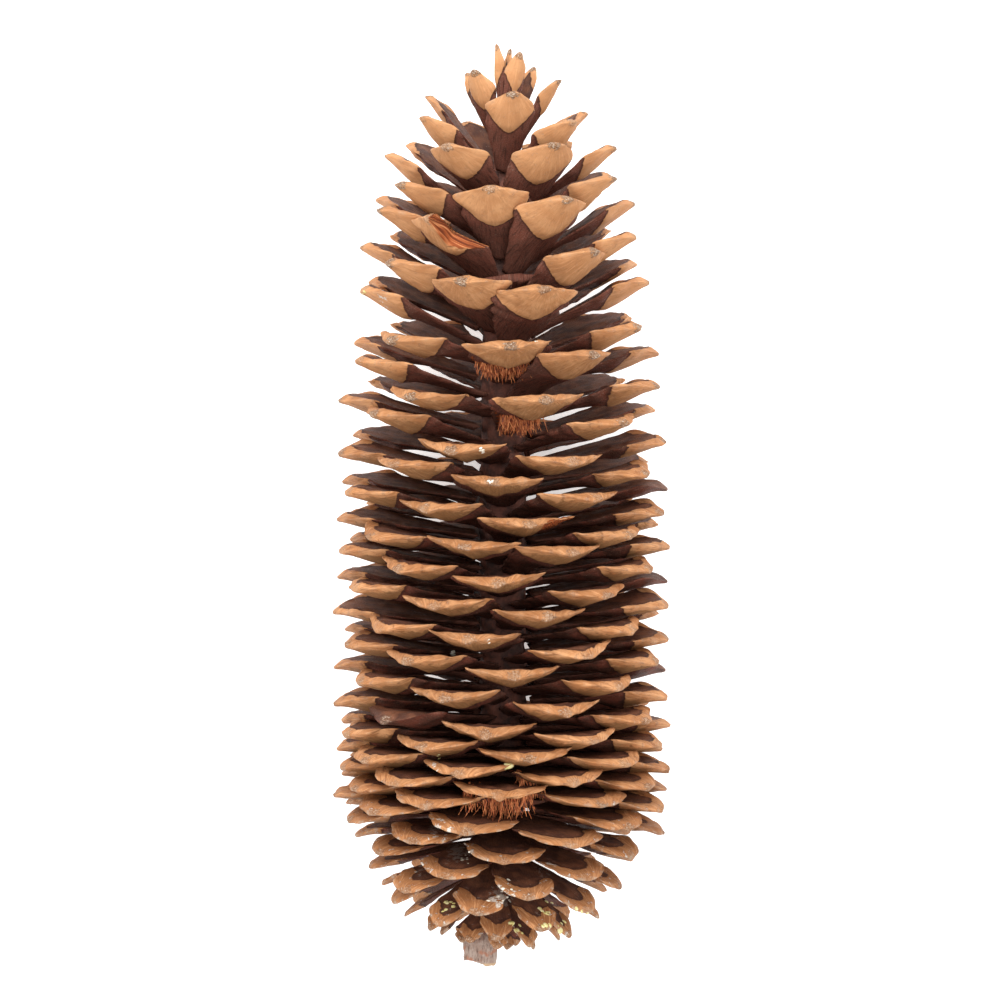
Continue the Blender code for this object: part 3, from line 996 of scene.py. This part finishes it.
def stalkMaterial():
    n = Nodes("stalk bark")
    place = n.objectPlace()
    x, y, z = n.parts(place)
    long = n.vector(n.times(x, 0.22), y, z)
    cracks = n.noise(long, 900.0, 4.0, 0.65)
    patches = n.noise(place, 260.0, 3.0, 0.6)
    colour = n.mix(n.between(patches, 0.35, 0.65), stalk["bark"], stalk["barkPale"])
    colour = n.mix(n.between(cracks, 0.52, 0.68, 0.0, 0.9), colour, stalk["barkDark"])
    colour = n.mix(n.between(n.noise(place, 230.0, 2.0), 0.54, 0.64, 0.0, 0.75), colour,
                   stalk["barkRed"])
    endX = -0.5 * cone["length"] * millimetre
    cut = n.between(x, endX + 0.0007, endX + 0.0002)
    colour = n.mix(cut, colour, stalk["wood"])
    n.shader.inputs["Specular IOR Level"].default_value = 0.2
    return n.finish(colour, stalk["roughness"], n.minus(1.0, cracks), 0.0009, 0.9)


def makeStalk():
    bm = rod(0.0, stalk["length"], stalk["sides"], stalk["cuts"])

    def radiusAt(station, angle):
        x, y = math.cos(angle), math.sin(angle)
        lump = noise.noise(Vector((x * 1.3, y * 1.3, station * 0.18)))
        groove = noise.noise(Vector((x * 7.0, y * 7.0, station * 0.22 + 9.0)))
        rise, middle, spread = stalk["flare"]
        flare = rise * max(0.0, 1.0 - abs(station - middle) / spread)
        rim = 1.0 - (1.0 - stalk["rim"]) * float(smooth(stalk["rimReach"], 0.0, station))
        knotStation, knotTurn, knotRise, knotReach = stalk["knot"]
        around = math.remainder(angle - knotTurn, math.tau) * stalk["radius"]
        off = math.hypot(station - knotStation, around) / knotReach
        knot = knotRise * (math.exp(-off ** 2) - 0.55 * math.exp(-(2.2 * off) ** 2))
        return rim * (stalk["radius"] + flare + stalk["lump"] * lump + knot
                      - stalk["crack"] * max(0.0, groove))

    for vert in bm.verts:
        broken = noise.noise(Vector((vert.co.x * 1.6, vert.co.y * 1.6, 4.0)))
        left = max(0.0, 1.0 - vert.co.z / stalk["raggedReach"])
        vert.co.z += stalk["ragged"] * max(0.0, 0.35 + broken) * left
    bendAlongAxis(bm, radiusAt)
    bmesh.ops.recalc_face_normals(bm, faces=bm.faces[:])
    mesh = meshFrom(bm, "stalk_bark")
    newPiece("stalk_bark", mesh, stalkMaterial(), "stalk")
    mesh.set_sharp_from_angle(angle=math.radians(stalk["sharp"]))
    print("stalk")


# torn fibres that hang from the broken undersides
fibres = {
    "places": (
        # scale, how many, first and last place behind the tip, reach to either side, longest, mm
        (55, 170, 24.5, 36.0, -12.5, 9.0, 6.5),
        (66, 170, 25.5, 38.0, -11.0, 6.0, 7.5),
        (189, 230, 13.0, 27.0, -12.0, 11.0, 11.0),
        (182, 90, 16.0, 28.0, -12.0, -4.0, 8.0),
    ),
    "seed": 41,
    "sides": 5,
    "cuts": 3,
    "thick": (0.16, 0.52),       # radius, mm
    "end": 0.25,                 # share of it that is left at the end
    "down": 1.0,
    "out": (-0.15, 0.35),
    "aside": 0.35,
    "droop": 0.25,
    "colour": (0.44, 0.105, 0.030),
    "colourLight": (0.66, 0.240, 0.085),
    "colourDark": (0.085, 0.022, 0.012),
    "roughness": 0.7,
}


def fibreMaterial():
    n = Nodes("torn fibres")
    place = n.objectPlace()
    x, y, z = n.parts(place)
    long = n.vector(n.times(x, 0.2), y, z)
    strands = n.noise(long, 1500.0, 2.0, 0.5)
    colour = n.mix(n.between(strands, 0.45, 0.62), fibres["colour"], fibres["colourLight"])
    colour = n.mix(n.between(strands, 0.44, 0.34), colour, fibres["colourDark"])
    return n.finish(colour, fibres["roughness"])


def makeFibres():
    strandMesh = meshFrom(rod(0.0, 1.0, fibres["sides"], fibres["cuts"]), "strand")
    blank = vertexPlaces(strandMesh)
    rise = blank[:, 2][:, None]
    draw = random.Random(fibres["seed"])
    joined = bmesh.new()
    made = []
    for number, count, near, far, left, right, longest in fibres["places"]:
        facts = scaleFacts(number)
        length = facts["length"]
        backs = np.array([draw.uniform(near, far) for strand in range(count)])
        sides = np.array([draw.uniform(left, right) for strand in range(count)])
        share = 1.0 - backs / length
        across = np.clip(sides / (0.46 * facts["width"]), -0.85, 0.85)
        roots = scaleSurface(facts, share, -np.arccos(across))["points"]
        outward, along, aside = facts["outward"], facts["along"], facts["sideways"]
        for root in roots:
            way = (-fibres["down"] * along + draw.uniform(*fibres["out"]) * outward
                   + draw.uniform(-1.0, 1.0) * fibres["aside"] * aside)
            way = way / np.linalg.norm(way)
            curl = (draw.uniform(-1.0, 1.0) * aside + draw.uniform(-1.0, 1.0) * outward)
            first = np.cross(way, aside)
            first = first / np.linalg.norm(first)
            second = np.cross(way, first)
            reach = longest * draw.uniform(0.35, 1.0)
            thick = draw.uniform(*fibres["thick"])
            around = thick * (1.0 - (1.0 - fibres["end"]) * rise)
            offset = (around * (blank[:, :1] * first + blank[:, 1:2] * second)
                      + (reach * rise - 0.8) * way + fibres["droop"] * reach * rise ** 2 * curl)
            joined.from_mesh(strandMesh)
            made.append(root + offset * millimetre)
    bpy.data.meshes.remove(strandMesh)
    bmesh.ops.recalc_face_normals(joined, faces=joined.faces[:])
    mesh = meshFrom(joined, "torn_fibres")
    mesh.vertices.foreach_set("co", np.concatenate(made).ravel())
    mesh.update()
    newPiece("torn_fibres", mesh, fibreMaterial(), "cone")
    print("fibres", len(made))


# lumps on the scales, each at a pixel of the photograph: dried resin and yellow-green crumbs
lumps = {
    "resin": (
        # x, y, size in mm, how many, spread in mm
        (453, 652, 1.1, 4, 1.3),
        (482, 450, 0.9, 5, 1.4),
        (491, 482, 0.7, 4, 1.6),
        (354, 287, 1.3, 7, 2.6),
        (374, 181, 1.2, 5, 1.8),
        (381, 186, 0.8, 3, 1.4),
        (464, 858, 0.8, 8, 4.0),
        (502, 896, 0.9, 9, 4.5),
        (487, 640, 0.6, 3, 1.5),
        (437, 767, 0.6, 4, 3.0),
        (537, 341, 0.4, 3, 1.0),
    ),
    "crumbs": (
        (508, 764, 2.4, 3, 1.0),
        (364, 294, 1.0, 5, 2.4),
        (449, 908, 1.3, 7, 3.0),
        (517, 931, 1.5, 5, 2.4),
        (545, 909, 1.3, 7, 2.8),
        (541, 924, 1.2, 6, 2.8),
        (561, 926, 1.2, 5, 2.2),
        (580, 914, 1.0, 5, 2.2),
        (437, 755, 0.8, 3, 1.6),
    ),
    "rounds": 2,
    "flat": 0.62,
    "sink": 0.25,
    "uneven": 0.35,
    "lowest": 0.6,               # share of the axis height, below which no lump is put
    "seed": 7,
    "resinColour": (0.72, 0.66, 0.52),
    "resinPale": (0.84, 0.80, 0.70),
    "crumbColour": (0.56, 0.50, 0.17),
    "crumbPale": (0.72, 0.66, 0.36),
}


def lumpMaterial(name, colour, pale, roughness):
    n = Nodes(name)
    place = n.objectPlace()
    mixed = n.mix(n.between(n.noise(place, 900.0, 3.0), 0.40, 0.62), colour, pale)
    return n.finish(mixed, roughness, n.noise(place, 2200.0, 2.0), 0.0002, 0.6)


def makeLumps(name, places, material, carriers):
    # each lump sits where the camera's ray through its pixel meets the wood
    draw = random.Random(lumps["seed"])
    camera = Vector((view["aimAlong"], view["aimAside"],
                     view["distance"] + cone["axisHeight"] * millimetre))
    middle = 0.5 * view["pixels"]
    joined = bmesh.new()
    for x, y, size, count, spread in places:
        for lump in range(count):
            offX = draw.gauss(0.0, 0.5) * spread * millimetre / view["pixel"]
            offY = draw.gauss(0.0, 0.5) * spread * millimetre / view["pixel"]
            target = Vector((view["aimAlong"] + (middle - y - offY) * view["pixel"],
                             view["aimAside"] + (middle - x - offX) * view["pixel"],
                             cone["axisHeight"] * millimetre))
            hits = [tree.ray_cast(camera, (target - camera).normalized()) for tree in carriers]
            hits = [hit for hit in hits if hit[0] is not None]
            grown = size * draw.uniform(0.45, 1.0) * millimetre
            shift = draw.uniform(0.0, 90.0)
            if not hits:
                continue
            place, normal, face, away = min(hits, key=lambda hit: hit[3])
            if place.z < lumps["lowest"] * cone["axisHeight"] * millimetre:
                continue
            turn = normal.to_track_quat("Z", "Y").to_matrix().to_4x4()
            squash = Matrix.Diagonal((grown, grown * draw.uniform(0.7, 1.0),
                                      grown * lumps["flat"], 1.0))
            matrix = Matrix.Translation(place - normal * grown * lumps["sink"]) @ turn @ squash
            made = bmesh.ops.create_icosphere(joined, subdivisions=lumps["rounds"], radius=1.0)
            for vert in made["verts"]:
                uneven = noise.noise(vert.co * 1.3 + Vector((shift, 0.0, 0.0)))
                vert.co = matrix @ (vert.co * (1.0 + lumps["uneven"] * uneven))
    bmesh.ops.recalc_face_normals(joined, faces=joined.faces[:])
    newPiece(name, meshFrom(joined, name), material, "cone")
    print(name)


def makeDebris():
    bpy.context.view_layer.update()
    depsgraph = bpy.context.evaluated_depsgraph_get()
    carriers = [BVHTree.FromObject(bpy.data.objects[zone[0]], depsgraph) for zone in scaleZones]
    resin = lumpMaterial("dried resin", lumps["resinColour"], lumps["resinPale"], 0.38)
    crumb = lumpMaterial("yellow crumbs", lumps["crumbColour"], lumps["crumbPale"], 0.8)
    makeLumps("resin_beads", lumps["resin"], resin, carriers)
    makeLumps("yellow_crumbs", lumps["crumbs"], crumb, carriers)


makeCamera()
makeStudio()
print("camera and studio")
scaleWood = scaleMaterial()
makeCore()
makeScales(scaleWood)
makeBud(scaleWood)
makeFibres()
makeDebris()
makeStalk()
